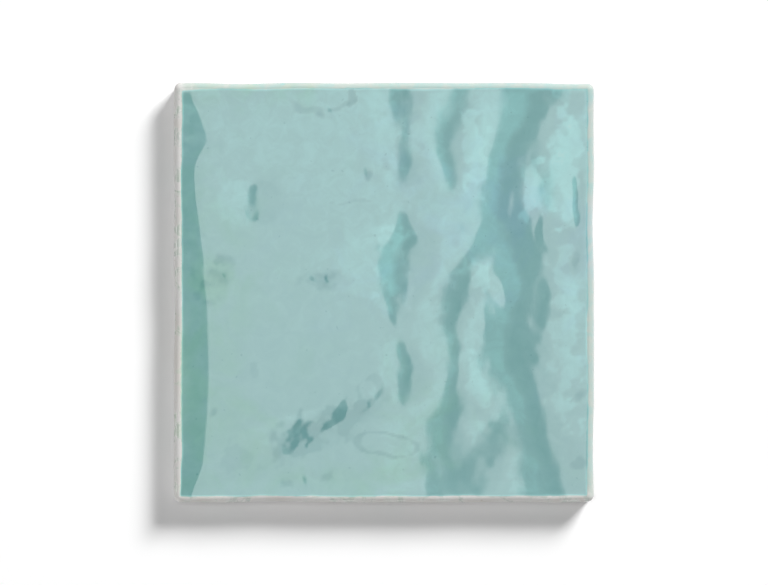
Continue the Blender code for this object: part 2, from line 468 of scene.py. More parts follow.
    def lip(self, x: np.ndarray, y: np.ndarray) -> np.ndarray:
        """The height of the raised rim, whose left flank is as wide as the light shows it.

        Args:
            x: places across.
            y: places up.

        Returns:
            The height above the face at each point.
        """
        up = y / self.side
        wide = through(self.left_reach, 1, up + self.sway_up[0].at(x, y) / self.side)
        usual, swing, rate, phase = self.right_reach
        narrow = usual + swing * np.sin(rate * up + phase)
        side_lip = np.where(x < 0, self.left_lip.height(self.crest + x, wide),
                            self.right_lip.height(self.crest - x, narrow))
        end_lip = self.end_lip.height(self.crest - np.abs(y), np.ones_like(y))
        low_left = ease(*self.low_span, -2 * x / self.side) * (y < 0)
        end_lip = end_lip * (1 - self.low_foot * low_left)
        return side_lip + end_lip - side_lip * end_lip / self.left_lip.rise

    def swayed(self, x: np.ndarray, y: np.ndarray) -> Plan:
        """Points of the plan as shares of the side, moved so that nothing runs quite true."""
        return ((x + total(self.sway_across, x, y)) / self.side,
                (y + total(self.sway_up, x, y)) / self.side)

    def waves(self, x: np.ndarray, y: np.ndarray) -> np.ndarray:
        """The height of all ripples, marks and dimples at points of the plan.

        Args:
            x: places across.
            y: places up.

        Returns:
            The height above or below the face at each point.
        """
        across, up = self.swayed(x, y)
        height = total(self.ripples + self.marks, across, up) * self.side
        return (1 + total(self.vigour, x, y)) * height + total(self.dimples, across, up)

    def scuffing(self, x: np.ndarray, y: np.ndarray) -> np.ndarray:
        """The height of the rough scuffs at points of the plan."""
        return total(self.scuffs, *self.swayed(x, y)) * total(self.scuff, x, y)

    def height(self, x: np.ndarray, y: np.ndarray) -> np.ndarray:
        """The height of the face above the floor at points inside the crest.

        Args:
            x: places across.
            y: places up.

        Returns:
            The height at each point.
        """
        broad = self.lip(x, y) + total(self.swells, x / self.side, y / self.side)
        fine = self.scuffing(x, y) + total(self.skin, x, y)
        return self.level + broad + self.waves(x, y) + fine


@dataclass(frozen=True)
class Outline:
    """The plan of the tile: a square with rounded corners, whose edges stray a little inwards.

    waver is how far they stray at most. It follows two bends, each with its swing, its rate along
    the edge and its share of the edge's own phase, and dies away inwards by the power fade.
    """

    half: float
    corner: float = 2.2 * MM
    waver: float = 0.45 * MM
    bends: Points = ((0.6, 2.3, 1.0), (0.4, 5.2, -2.0))
    right_phase: float = 0.6
    left_phase: float = 2.2
    top_phase: float = 1.3
    foot_phase: float = 3.4
    fade: int = 3

    def past(self, x: np.ndarray, y: np.ndarray) -> Plan:
        """How far points lie past the straight stretches of the edges, across and up, or 0."""
        straight = self.half - self.corner
        return np.clip(np.abs(x) - straight, 0.0, None), np.clip(np.abs(y) - straight, 0.0, None)

    def rounded(self, x: np.ndarray, y: np.ndarray) -> Plan:
        """Points of the square, with those near its corners drawn in to the corners' arcs.

        Args:
            x: places across.
            y: places up.

        Returns:
            The new places across and up.
        """
        past_x, past_y = self.past(x, y)
        drawn_x = past_x * np.sqrt(1 - past_y**2 / (2 * self.corner**2))
        drawn_y = past_y * np.sqrt(1 - past_x**2 / (2 * self.corner**2))
        return (np.sign(x) * (np.abs(x) - past_x + drawn_x),
                np.sign(y) * (np.abs(y) - past_y + drawn_y))

    def inset(self, x: np.ndarray, y: np.ndarray) -> np.ndarray:
        """How far points lie inside the rounded square.

        Args:
            x: places across.
            y: places up.

        Returns:
            The distance of each point to the nearest edge.
        """
        past_x, past_y = self.past(x, y)
        on_arc = self.corner - np.hypot(past_x, past_y)
        on_side = self.half - np.maximum(np.abs(x), np.abs(y))
        return np.where((past_x > 0) & (past_y > 0), on_arc, on_side)

    def outwards(self, x: np.ndarray, y: np.ndarray) -> Plan:
        """The level directions out of the edge at points on the outline.

        Args:
            x: places across.
            y: places up.

        Returns:
            The parts of each direction across and up.
        """
        past_x, past_y = self.past(x, y)
        length = np.maximum(np.hypot(past_x, past_y), TINY)
        return np.sign(x) * past_x / length, np.sign(y) * past_y / length

    def stray(self, along: np.ndarray, phase: np.ndarray) -> np.ndarray:
        """How far an edge strays inside its straight line.

        Args:
            along: places along the edge.
            phase: the edge's own phase at each.

        Returns:
            The distance at each place.
        """
        turn = math.pi * along / (2 * self.half)
        wander = sum(swing * np.sin(rate * turn + share * phase)
                     for swing, rate, share in self.bends)
        return self.waver * wander**2

    def wavered(self, x: np.ndarray, y: np.ndarray) -> Plan:
        """Points of the plan, moved with the straying of the nearest edges.

        Args:
            x: places across.
            y: places up.

        Returns:
            The new places across and up.
        """
        stray_x = self.stray(y, np.where(x > 0, self.right_phase, self.left_phase))
        stray_y = self.stray(x, np.where(y > 0, self.top_phase, self.foot_phase))
        return (x - (x / self.half) ** self.fade * stray_x,
                y - (y / self.half) ** self.fade * stray_y)


@dataclass(frozen=True)
class Pattern:
    """Cloudy noise over the object, and the values that it is spread over.

    size is the rough size of its lumps, detail how many finer layers it has, roughness how strong
    they are, and warp how much it curls. Noise from low to high is spread from to_low to to_high.
    """

    size: float
    detail: float = 2.0
    roughness: float = 0.5
    warp: float = 0.0
    low: float = 0.0
    high: float = 1.0
    to_low: float = 0.0
    to_high: float = 1.0


class Shader:
    """A material's nodes, around one Principled shader."""

    def __init__(self, name: str) -> None:
        """Starts a material with its shader and the place on the object that patterns read.

        Args:
            name: the material's name.
        """
        self.material = bpy.data.materials.new(name)
        self.material.use_nodes = True
        self.tree = self.material.node_tree
        self.surface = self.tree.nodes["Principled BSDF"]
        self.place = self.tree.nodes.new("ShaderNodeTexCoord").outputs["Object"]

    def join(self, source: Socket, target: Socket) -> None:
        """Links one socket to another."""
        self.tree.links.new(source, target)

    def put(self, target: Socket, value: Value) -> None:
        """Sets a socket to a value, or links it where the value is a socket.

        Args:
            target: the socket.
            value: what it gets.
        """
        if isinstance(value, Socket):
            self.join(value, target)
        else:
            target.default_value = value

    def math(self, operation: str, first: Value, second: Value, clamp: bool = False) -> Socket:
        """A sum, product or other operation on two values.

        Args:
            operation: the node's operation, such as ADD.
            first: a number or a socket.
            second: a number or a socket.
            clamp: whether the result is kept between 0 and 1.

        Returns:
            The socket that holds the result.
        """
        node = self.tree.nodes.new("ShaderNodeMath")
        node.operation = operation
        node.use_clamp = clamp
        self.put(node.inputs[0], first)
        self.put(node.inputs[1], second)
        return node.outputs[0]

    def noise(self, pattern: Pattern) -> Socket:
        """The noise of a pattern, before it is spread.

        Args:
            pattern: the pattern.

        Returns:
            The socket that holds the noise, between 0 and 1.
        """
        node = self.tree.nodes.new("ShaderNodeTexNoise")
        for name, value in (("Scale", 1 / pattern.size), ("Detail", pattern.detail),
                            ("Roughness", pattern.roughness), ("Distortion", pattern.warp)):
            node.inputs[name].default_value = value
        self.join(self.place, node.inputs["Vector"])
        return node.outputs["Fac"]

    def spread(self, pattern: Pattern) -> Socket:
        """The noise of a pattern, spread over its values."""
        return self.level(self.noise(pattern), pattern.low, pattern.high,
                          pattern.to_low, pattern.to_high)

    def ramp(self, factor: Socket, stops: tuple[tuple[float, Colour], ...]) -> Socket:
        """Colours that run from one to the next as a value rises.

        Args:
            factor: the value.
            stops: the place and the colour of each stop, in order.

        Returns:
            The socket that holds the colour.
        """
        node = self.tree.nodes.new("ShaderNodeValToRGB")
        elements = node.color_ramp.elements
        while len(elements) < len(stops):
            elements.new(0.5)
        for element, (place, colour) in zip(elements, stops):
            element.position = place
            element.color = (*colour, 1.0)
        self.join(factor, node.inputs["Fac"])
        return node.outputs["Color"]

    def level(self, factor: Socket, low: float, high: float, to_low: float = 0.0,
              to_high: float = 1.0) -> Socket:
        """A value moved smoothly from one range to another.

        Args:
            factor: the value.
            low: the start of its range.
            high: the end of its range.
            to_low: what low becomes.
            to_high: what high becomes.

        Returns:
            The socket that holds the moved value.
        """
        node = self.tree.nodes.new("ShaderNodeMapRange")
        node.interpolation_type = "SMOOTHSTEP"
        for name, value in (("From Min", low), ("From Max", high),
                            ("To Min", to_low), ("To Max", to_high)):
            node.inputs[name].default_value = value
        self.join(factor, node.inputs["Value"])
        return node.outputs["Result"]

    def mix(self, factor: Socket, first: Value, second: Value, blend: str = "MIX") -> Socket:
        """A mix of two colours.

        Args:
            factor: how much of the second shows.
            first: a colour or a socket.
            second: a colour or a socket.
            blend: the node's way of mixing.

        Returns:
            The socket that holds the mixed colour.
        """
        node = self.tree.nodes.new("ShaderNodeMix")
        node.data_type = "RGBA"
        node.blend_type = blend
        self.put(node.inputs["Factor"], factor)
        for socket, value in ((node.inputs[6], first), (node.inputs[7], second)):
            self.put(socket, value if isinstance(value, Socket) else (*value, 1.0))
        return node.outputs[2]

    def attribute(self, name: str) -> Socket:
        """The value of one of the mesh's own attributes.

        Args:
            name: the attribute's name.

        Returns:
            The socket that holds the value.
        """
        node = self.tree.nodes.new("ShaderNodeAttribute")
        node.attribute_name = name
        return node.outputs["Fac"]

    def bump(self, height: Socket, depth: float) -> None:
        """Raises the surface's light by a height pattern.

        Args:
            height: the pattern, between 0 and 1.
            depth: the height that 1 stands for, in metres.
        """
        node = self.tree.nodes.new("ShaderNodeBump")
        node.inputs["Strength"].default_value = 1.0
        node.inputs["Distance"].default_value = depth
        self.join(height, node.inputs["Height"])
        normal = self.surface.inputs["Normal"]
        if normal.is_linked:
            self.join(normal.links[0].from_socket, node.inputs["Normal"])
        self.join(node.outputs["Normal"], normal)


@dataclass(frozen=True)
class BiscuitFinish:
    """The fired body where no glaze covers it: pale, matt and finely grained."""

    pale: Colour = (0.67, 0.665, 0.655)
    warm: Colour = (0.62, 0.60, 0.57)
    fleck: Colour = (0.50, 0.46, 0.40)
    clouds: Pattern = Pattern(14 * MM, 4, 0.6, low=0.35, high=0.7)
    mottle: Pattern = Pattern(0.6 * MM, 3, low=0.3, high=0.8, to_high=0.35)
    flecks: Pattern = Pattern(1.3 * MM, 1, low=0.72, high=0.78, to_high=0.55)
    grain: Pattern = Pattern(0.45 * MM, 4, 0.7)
    grain_depth: float = 0.020 * MM
    roughness: float = 0.82

    def colour(self, shader: Shader) -> Socket:
        """The body's colour: warm clouds, a fine mottle and a few flecks.

        Args:
            shader: the material to build it in.

        Returns:
            The socket that holds the colour.
        """
        body = shader.mix(shader.spread(self.clouds), self.pale, self.warm)
        body = shader.mix(shader.spread(self.mottle), body, self.warm)
        return shader.mix(shader.spread(self.flecks), body, self.fleck)

    def make(self) -> bpy.types.Material:
        """The material of the back.

        Returns:
            The new material.
        """
        shader = Shader("biscuit")
        shader.join(self.colour(shader), shader.surface.inputs["Base Color"])
        shader.surface.inputs["Roughness"].default_value = self.roughness
        shader.bump(shader.noise(self.grain), self.grain_depth)
        return shader.material


@dataclass(frozen=True)
class GlazeFinish:
    """A glossy aqua glaze: thin and pale on the arris, deeper where it pools, and cloudy.

    It reads the coat's film and tint. The colours stand at stops along a ramp, on which a full
    coat of 1 stands at full_stop. Where the film is thinner than bare_span the body shows.
    """

    body: BiscuitFinish
    thin: Colour = (0.47, 0.53, 0.49)
    light: Colour = (0.266, 0.530, 0.523)
    full: Colour = (0.207, 0.388, 0.387)
    deep: Colour = (0.146, 0.312, 0.315)
    stops: tuple[float, ...] = (0.0, 0.10, 0.26, 0.50, 0.85)
    full_stop: float = 0.5
    green_cast: Colour = (0.89, 0.99, 0.85)
    blue_cast: Colour = (0.96, 0.95, 1.08)
    cast_start: float = 0.05
    cast_share: float = 0.9
    clouds: Pattern = Pattern(5 * MM, 4, 0.62, warp=0.6, low=0.25, high=0.75,
                              to_low=-0.10, to_high=0.10)
    specks: Pattern = Pattern(1.7 * MM, 1, low=0.735, high=0.79, to_high=0.45)
    hues: Pattern = Pattern(15 * MM, 3, 0.6, warp=0.8, low=0.2, high=0.8,
                            to_low=-0.4, to_high=0.4)
    peel: Pattern = Pattern(1.6 * MM, 2)
    peel_depth: float = 0.003 * MM
    bare_span: Pair = (0.16, 0.05)
    roughness: float = 0.08
    refraction: float = 1.52

    def thickness(self, shader: Shader) -> Socket:
        """How thick the glaze is: the coat's film, with clouds and specks of more and less.

        Args:
            shader: the material to build it in.

        Returns:
            The socket that holds the thickness.
        """
        film = shader.attribute("film")
        thickness = shader.math("ADD", film, shader.spread(self.clouds))
        specks = shader.math("MULTIPLY", shader.spread(self.specks), film)
        return shader.math("ADD", thickness, specks)

    def colour(self, shader: Shader, thickness: Socket) -> Socket:
        """The glaze's colour by its thickness, greener and bluer in places.

        Args:
            shader: the material to build it in.
            thickness: how thick the glaze is.

        Returns:
            The socket that holds the colour.
        """
        colours = (self.body.pale, self.thin, self.light, self.full, self.deep)
        place = shader.math("MULTIPLY", thickness, self.full_stop)
        colour = shader.ramp(place, tuple(zip(self.stops, colours)))
        hue = shader.math("ADD", shader.attribute("tint"), shader.spread(self.hues))
        for end, cast in ((1.0, self.green_cast), (-1.0, self.blue_cast)):
            share = shader.level(hue, self.cast_start * end, end, 0.0, self.cast_share)
            colour = shader.mix(share, colour, cast, blend="MULTIPLY")
        return colour

    def make(self) -> bpy.types.Material:
        """The material of the face and the sides.

        Returns:
            The new material.
        """
        shader = Shader("glaze")
        thickness = self.thickness(shader)
        bare = shader.level(thickness, *self.bare_span)
        colour = shader.mix(bare, self.colour(shader, thickness), self.body.colour(shader))
        shader.join(colour, shader.surface.inputs["Base Color"])
        shader.join(shader.level(bare, 0.0, 1.0, self.roughness, self.body.roughness),
                    shader.surface.inputs["Roughness"])
        shader.surface.inputs["IOR"].default_value = self.refraction
        shader.bump(shader.noise(self.peel), self.peel_depth)
        grain = shader.math("MULTIPLY", shader.noise(self.body.grain), bare)
        shader.bump(grain, self.body.grain_depth)
        return shader.material


@dataclass(frozen=True)
class GlazeCoat:
    """How much glaze covers each place of the tile, and how its hue drifts.

    A film of 1 is a full coat, and 0 leaves the body bare. On the face the glaze pools in hollows,
    thins by lean towards the right and the top, and is stained in patches. Many patches are painted
    reflection and painted shade: darker glaze over the scuffs and in rings, where the face's
    reflection shows dark marks, down the left edge, where the lip's flank mirrors a dark band, and
    along the top edge; and paler glaze in streaks on the right, where the reflection shows bright.
    At the arris it is drawn back to arris_film, and at the left and the foot, from edge_span of the
    way out, by pale_drop more, or by fed less where the glaze runs on down the side; that paler
    line at the left and the foot is partly a painted highlight. On the sides it ends in runs and
    bays, with a bead of thicker glaze along the end.
    """

    outline: Outline
    relief: Relief
    shoulder: float
    foot: float
    pool: float = 0.40
    pool_depth: float = 0.10 * MM
    pool_limits: Pair = (-0.35, 0.6)
    pool_margin: Pair = (2 * MM, 4 * MM)
    lean: Pair = (-0.088, -0.132)
    least: float = 0.57
    edge_span: Pair = (0.86, 0.98)
    arris_film: float = 0.26
    arris_span: Pair = (0.82, 1.16)
    arris_width: float = 2.25 * MM
    left_extra: float = 0.45 * MM
    foot_width: float = 2.35 * MM
    arris_waver: tuple[Cloud, ...] = (Cloud(11 * MM, 0.25 * MM, 51), Cloud(3 * MM, 0.12 * MM, 52))
    pale_drop: float = 0.22
    fed: float = 0.04
    fed_span: Pair = (-0.2 * MM, 1.0 * MM)
    side_span: Pair = (0.0, 1.6 * MM)
    side_drop: float = 0.03
    side_cloud: Cloud = Cloud(8 * MM, 0.05, 53)
    bead: float = 0.16
    bead_width: float = 0.7 * MM
    end_height: float = 5.0 * MM
    end_limits: Pair = (1.0 * MM, 7.4 * MM)
    end_blur: float = 0.15 * MM
    runs: tuple[Cloud, ...] = (Cloud(10 * MM, 2.6 * MM, 41), Cloud(3.4 * MM, 0.9 * MM, 42))
    ragged: tuple[Cloud, ...] = (Cloud(3.2 * MM, 0.45, 61), Cloud(1.4 * MM, 0.20, 62))
    drift: tuple[Cloud, ...] = (Cloud(5 * MM, 1.3 * MM, 63), Cloud(5 * MM, 1.3 * MM, 64))
    patches: tuple[Patch, ...] = (
        # Painted shade: a slightly darker strip along the top edge.
        Patch((-0.27, 0.480), (0.17, 0.022), 0.06, soft=0.4),
        # Painted reflection: darker glaze over the scuffs near the top, where the reflection shows
        # dark marks.
        Patch((-0.075, 0.470), (0.012, 0.032), 0.50),
        Patch((-0.175, 0.440), (0.052, 0.009), 0.40, -14, soft=0.6),
        Patch((-0.105, 0.445), (0.042, 0.009), 0.40, 16, soft=0.6),
        # Painted reflection: darker glaze down the left edge, where the lip's flank mirrors a dark
        # band.
        Patch((-0.475, -0.02), (0.044, 0.60), 0.10, soft=0.5),
        # Painted reflection: darker glaze over scuffs, where the reflection shows dark marks.
        Patch((-0.408, 0.035), (0.048, 0.046), 0.70, 30, soft=1.1),
        Patch((-0.375, 0.078), (0.036, 0.017), 0.70, 10, soft=1.1),
        Patch((-0.200, -0.348), (0.082, 0.054), 0.75, 35, soft=0.7),
        Patch((-0.122, -0.302), (0.064, 0.044), 0.70, 15, soft=0.8),
        Patch((-0.050, -0.282), (0.066, 0.024), 0.60, 18, soft=0.8),
        # Painted reflection: more of the darker band down the left edge.
        Patch((-0.455, 0.27), (0.050, 0.25), 0.18, soft=0.6),
        # Painted reflection: rings of darker glaze, where the reflection shows dark rings.
        Patch((-0.032, -0.236), (0.030, 0.032), 0.35, soft=0.5, line=0.26),
        Patch((0.005, -0.362), (0.066, 0.030), 0.50, -6, soft=0.6, line=0.16),
        # Painted reflection: darker glaze over a scuff.
        Patch((-0.145, 0.029), (0.052, 0.022), 0.85, -3, soft=1.1),
        Patch((-0.031, 0.278), (0.011, 0.020), 0.60, -20, soft=0.6),
        Patch((-0.067, 0.220), (0.045, 0.005), 0.20, 4),
        Patch((-0.235, -0.458), (0.018, 0.018), 0.55, 30, soft=0.6),
        Patch((-0.133, -0.442), (0.020, 0.016), 0.50, 20, soft=0.6),
        Patch((-0.402, -0.289), (0.013, 0.016), 0.50, soft=0.6),
        Patch((-0.360, -0.395), (0.030, 0.035), 0.20),
        Patch((-0.310, -0.185), (0.010, 0.020), 0.18),
        Patch((0.456, 0.080), (0.010, 0.022), 0.60, soft=0.6),
        Patch((0.463, -0.245), (0.022, 0.014), 0.60, soft=0.6),
        Patch((0.457, -0.405), (0.022, 0.014), 0.50, 30, soft=0.6),
        Patch((0.045, 0.37), (0.040, 0.14), 0.22, soft=0.6),
        Patch((0.165, -0.04), (0.038, 0.13), 0.20, soft=0.6),
        # Painted highlight: thinner, paler glaze in streaks on the right, where the reflection shows
        # bright strips.
        Patch((0.023, 0.07), (0.045, 0.11), -0.25, soft=0.5),
        Patch((0.215, 0.34), (0.030, 0.12), -0.30, soft=0.5),
        Patch((0.350, 0.24), (0.030, 0.08), -0.40, soft=0.5),
        Patch((0.430, 0.33), (0.040, 0.16), -0.35, soft=0.5),
        Patch((0.430, -0.10), (0.040, 0.25), -0.30, soft=0.5),
        Patch((0.215, -0.25), (0.025, 0.12), -0.25, soft=0.5),
        Patch((0.230, 0.02), (0.022, 0.05), -0.30, soft=0.5),
    )
    tints: tuple[Swell, ...] = (
        Swell((-0.46, -0.14), (0.13, 0.36), 0.65),
        Swell((-0.395, 0.04), (0.045, 0.05), 0.60),
        Swell((-0.40, -0.34), (0.20, 0.12), 0.35),
        Swell((-0.25, 0.48), (0.22, 0.03), 0.40),
        Swell((-0.08, -0.44), (0.22, 0.06), 0.45),
        Swell((0.10, -0.25), (0.20, 0.20), 0.25),
        Swell((0.22, 0.15), (0.30, 0.30), -0.40),
    )

    def end(self, x: np.ndarray, y: np.ndarray) -> np.ndarray:
        """The height on the sides at which the glaze ends, at points of the plan."""
        return np.clip(self.end_height + total(self.runs, x, y), *self.end_limits)

    def arris(self, x: np.ndarray, y: np.ndarray) -> np.ndarray:
        """How wide the pale line along the edge is, where the glaze drew back from it. It is wider
        at the left and the foot, where the line is partly a painted highlight.

        Args:
            x: places across.
            y: places up.

        Returns:
            The width at each point.
        """
        width = self.arris_width + self.left_extra * ease(*self.edge_span, -x / self.outline.half)
        near_foot = ease(*self.edge_span, -y / self.outline.half)
        width = width + (self.foot_width - width) * near_foot
        return width + total(self.arris_waver, x, y)

    def drifted(self, x: np.ndarray, y: np.ndarray) -> Plan:
        """Points of the plan as shares of the side, moved so that no stain is a true oval."""
        return ((x + self.drift[0].at(x, y)) / self.relief.side,
                (y + self.drift[1].at(x, y)) / self.relief.side)

    def on_face(self, x: np.ndarray, y: np.ndarray) -> np.ndarray:
        """The film on the face.

        Args:
            x: places across.
            y: places up.

        Returns:
            The film at each point.
        """
        pooled = np.clip(-self.relief.waves(x, y) / self.pool_depth, *self.pool_limits)
        pooled = self.pool * pooled * ease(*self.pool_margin, self.outline.inset(x, y))
        lean = (self.lean[0] * x + self.lean[1] * y) / self.outline.half
        across, up = self.drifted(x, y)
        ragged = total(self.ragged, x, y)
        # The patches are partly real stains, and partly painted reflection and painted shade.
        stains_and_painted_reflection = sum(patch.over(across, up, ragged) for patch in self.patches)
        return np.maximum(Film.FULL.value + pooled + lean + stains_and_painted_reflection, self.least)

    def on_edge(self, x: np.ndarray, y: np.ndarray, z: np.ndarray) -> np.ndarray:
        """The film on the arris, and on the sides above the end of the glaze.

        Args:
            x: places across.
            y: places up.
            z: heights above the floor.

        Returns:
            The film at each point.
        """
        end = self.end(x, y)
        on_side = ease(*self.side_span, self.shoulder - z)
        # Paler still at the left and the foot: thinner glaze, and partly a painted highlight along
        # those edges.
        pale_side = ease(*self.edge_span, np.maximum(-x, -y) / self.outline.half)
        drop = self.pale_drop - self.fed * ease(*self.fed_span, self.shoulder - end)
        film = self.arris_film - drop * pale_side * (1 - on_side)
        film = film - on_side * (self.side_drop + self.side_cloud.at(x, y))
        return film + self.bead * on_side * np.exp(-(((z - end) / self.bead_width) ** 2))

    def film(self, x: np.ndarray, y: np.ndarray, z: np.ndarray) -> np.ndarray:
        """How much glaze covers the tile.

        Args:
            x: places across.
            y: places up.
            z: heights above the floor.

        Returns:
            The film at each point.
        """
        face = self.on_face(x, y)
        thin = 1 - ease(*self.arris_span, self.outline.inset(x, y) / self.arris(x, y))
        film = face + (self.on_edge(x, y, z) - face) * thin
        above_end = ease(-self.end_blur, self.end_blur, z - self.end(x, y))
        film = np.where(z < self.shoulder, film * above_end, film)
        return np.where(z < self.foot, Film.BARE.value, film)

    def tint(self, x: np.ndarray, y: np.ndarray) -> np.ndarray:
        """How far the hue leans to green at points of the plan, or to blue below 0."""
        return total(self.tints, *self.drifted(x, y))


@dataclass
class WallTile:
    """The tile: a pressed body with its glazed face, rolled edge, sides and ribbed back.

    high is the highest corner of the frame's box. The grid of the face is fine, at lip_pitch, as
    far in as lip_reach, and has face_cells between. Each side leans in by draft to its foot, and
    less by cover where the glaze fills it out. A face of the back counts as a pocket's mouth
    within slack, of a millimetre of its height and of its area. The bare finish reaches up the
    pockets by biscuit_reach of their depth. Their floors wear the glaze's material with no film
    on it, which shows the bare body as well.
    """

    high: Vector
    thickness: float = 8.3 * MM
    roll_width: float = 2.0 * MM
    roll_drop: float = 1.7 * MM
    roll_steps: int = 8
    lip_pitch: float = 0.42 * MM
    lip_reach: float = 9.6 * MM
    face_cells: int = 208
    side_rows: int = 12
    foot: float = 0.5 * MM
    draft: float = 0.2 * MM
    cover: float = 0.85
    cover_blur: float = 0.25 * MM
    back_margin: float = 8.0 * MM
    pocket: float = 11.2 * MM
    pocket_depth: float = 0.9 * MM
    pocket_draft: float = 0.5 * MM
    rib: float = 3.3 * MM
    softness: float = 0.25 * MM
    soft_segments: int = 3
    slack: float = 0.01
    biscuit_reach: float = 0.98
    facing_down: float = -0.2
    smooth_angle: float = math.radians(38)
    outline: Outline = field(init=False)
    relief: Relief = field(init=False)
    coat: GlazeCoat = field(init=False)
    piece: bpy.types.Object = field(init=False)

    def __post_init__(self) -> None:
        """Works out the outline, the relief and the coat from the frame's box."""
        half = self.high.x
        self.outline = Outline(half)
        self.relief = Relief(2 * half, half - self.roll_width, self.thickness)
        self.coat = GlazeCoat(self.outline, self.relief, self.shoulder, self.foot)

    @property
    def shoulder(self) -> float:
        """The height at which the rolled edge meets the side."""
        return self.thickness - self.roll_drop

    def lines(self) -> np.ndarray:
        """Where the face's lines run from edge to edge, close together on the roll and the lip.

        Returns:
            The place of each line, from left to right.
        """
        angles = np.radians(np.linspace(90, 0, self.roll_steps + 1))
        roll = self.roll_width * (1 - np.sin(angles))
        lip_cells = round((self.lip_reach - self.roll_width) / self.lip_pitch)
        lip = np.linspace(self.roll_width, self.lip_reach, lip_cells + 1)[1:]
        left = np.concatenate([roll, lip]) - self.outline.half
        middle = np.linspace(left[-1], -left[-1], self.face_cells + 1)[1:-1]
        return np.concatenate([left, middle, -left[::-1]])

    def lay_face(self) -> None:
        """Adds the face as a grid with one cell between each two lines."""
        self.piece = add_grid(len(self.lines()) - 1, self.outline.half)
        self.piece.name = self.piece.data.name = "glazed_tile"

    def turn_down_sides(self) -> None:
        """Extrudes the rim of the face down, row by row, to the foot of the sides."""
        bpy.ops.object.mode_set(mode="EDIT")
        bpy.ops.mesh.select_mode(type="EDGE")
        bpy.ops.mesh.select_all(action="SELECT")
        bpy.ops.mesh.region_to_loop()
        step = Vector((0, 0, -self.shoulder / self.side_rows))
        for _ in range(self.side_rows):
            bpy.ops.mesh.extrude_edges_move(TRANSFORM_OT_translate={"value": step})
        bpy.ops.object.mode_set(mode="OBJECT")

    def face_height(self, x: np.ndarray, y: np.ndarray) -> np.ndarray:
        """The height of the glazed top, the rolled edge included.

        Args:
            x: places across, before the edges stray.
            y: places up.

        Returns:
            The height at each point.
        """
        reach = self.relief.crest
        crest = self.relief.height(np.clip(x, -reach, reach), np.clip(y, -reach, reach))
        out = np.clip(1 - self.outline.inset(x, y) / self.roll_width, 0.0, 1.0)
        height = self.shoulder + (crest - self.shoulder) * np.sqrt(1 - out**2)
        return np.minimum(height, self.high.z)

    def shape(self) -> None:
        """Moves every vertex of the face and the sides to its place."""
        flat = places(self.piece)
        x, y = self.outline.rounded(*to_lines(flat, self.outline.half, self.lines()))
        below = np.rint(-flat[:, 2] * self.side_rows / self.shoulder)
        share = below / self.side_rows
        on_side = below > 0
        height = np.where(on_side, self.shoulder * (1 - share), self.face_height(x, y))
        covered = ease(-self.cover_blur, self.cover_blur, height - self.coat.end(x, y))
        lean = self.draft * ease(0.0, 1.0, share) * (1 - self.cover * covered)
        chamfer = np.clip(self.foot - height, 0.0, None)
        inwards = np.where(on_side, lean + chamfer, 0.0)
        out_x, out_y = self.outline.outwards(x, y)
        x, y = self.outline.wavered(x - out_x * inwards, y - out_y * inwards)
        self.piece.data.vertices.foreach_set("co", np.column_stack([x, y, height]).ravel())

    def back_lines(self) -> list[float]:
        """Where the pockets' walls stand along a row, and the edges of the pressed field.

        Returns:
            The place of each line, from left to right.
        """
        pitch = self.pocket + self.rib
        pairs = int((self.outline.half - self.back_margin + self.rib / 2) / pitch)
        field_half = pairs * pitch + self.rib / 2
        lines = [-field_half]
        for place in range(2 * pairs):
            start = self.rib - field_half + place * pitch
            lines += [start, start + self.pocket]
        return [*lines, field_half]

    def add_back(self) -> None:
        """Adds the ribbed back as a grid and bridges it to the foot of the sides."""
        lines = np.array(self.back_lines())
        grid = add_grid(len(lines) - 1, 1.0)
        bpy.ops.object.mode_set(mode="EDIT")
        bpy.ops.mesh.select_all(action="SELECT")
        bpy.ops.mesh.flip_normals()
        bpy.ops.object.mode_set(mode="OBJECT")
        x, y = to_lines(places(grid), 1.0, lines)
        grid.data.vertices.foreach_set("co", np.column_stack([x, y, np.zeros_like(x)]).ravel())
        self.piece.select_set(True)
        bpy.context.view_layer.objects.active = self.piece
        bpy.ops.object.join()
        bpy.ops.object.mode_set(mode="EDIT")
        bpy.ops.mesh.select_mode(type="EDGE")
        bpy.ops.mesh.select_all(action="DESELECT")
        bpy.ops.mesh.select_non_manifold(extend=False, use_wire=False, use_multi_face=False,
                                         use_non_contiguous=False, use_verts=False)
        bpy.ops.mesh.bridge_edge_loops()
        bpy.ops.object.mode_set(mode="OBJECT")

    def press_pockets(self) -> None:
        """Presses the pockets into the back and softens their walls."""
        mouth = self.pocket**2
        bpy.ops.object.mode_set(mode="EDIT")
        bpy.ops.mesh.select_mode(type="FACE")
        bpy.ops.mesh.select_all(action="DESELECT")
        bpy.ops.object.mode_set(mode="OBJECT")
        for face in self.piece.data.polygons:
            flat = abs(face.center.z) < self.slack * MM and len(face.vertices) == 4
            face.select = flat and abs(face.area - mouth) < self.slack * mouth
        bpy.ops.object.mode_set(mode="EDIT")
        bpy.ops.mesh.inset(thickness=self.pocket_draft, depth=-self.pocket_depth,
                           use_individual=True)
        bpy.ops.mesh.select_more()
        bpy.ops.mesh.bevel(offset=self.softness, segments=self.soft_segments, affect="EDGES",
                           clamp_overlap=True)
        bpy.ops.mesh.select_all(action="SELECT")
        bpy.ops.mesh.normals_make_consistent(inside=False)
        bpy.ops.object.mode_set(mode="OBJECT")

    def lay_coat(self) -> None:
        """Writes the film and the tint of the glaze at each vertex, for its material to read."""
        x, y, z = places(self.piece).T
        for name, values in (("film", self.coat.film(x, y, z)), ("tint", self.coat.tint(x, y))):
            attribute = self.piece.data.attributes.new(name, "FLOAT", "POINT")
            attribute.data.foreach_set("value", values.astype(np.float32))

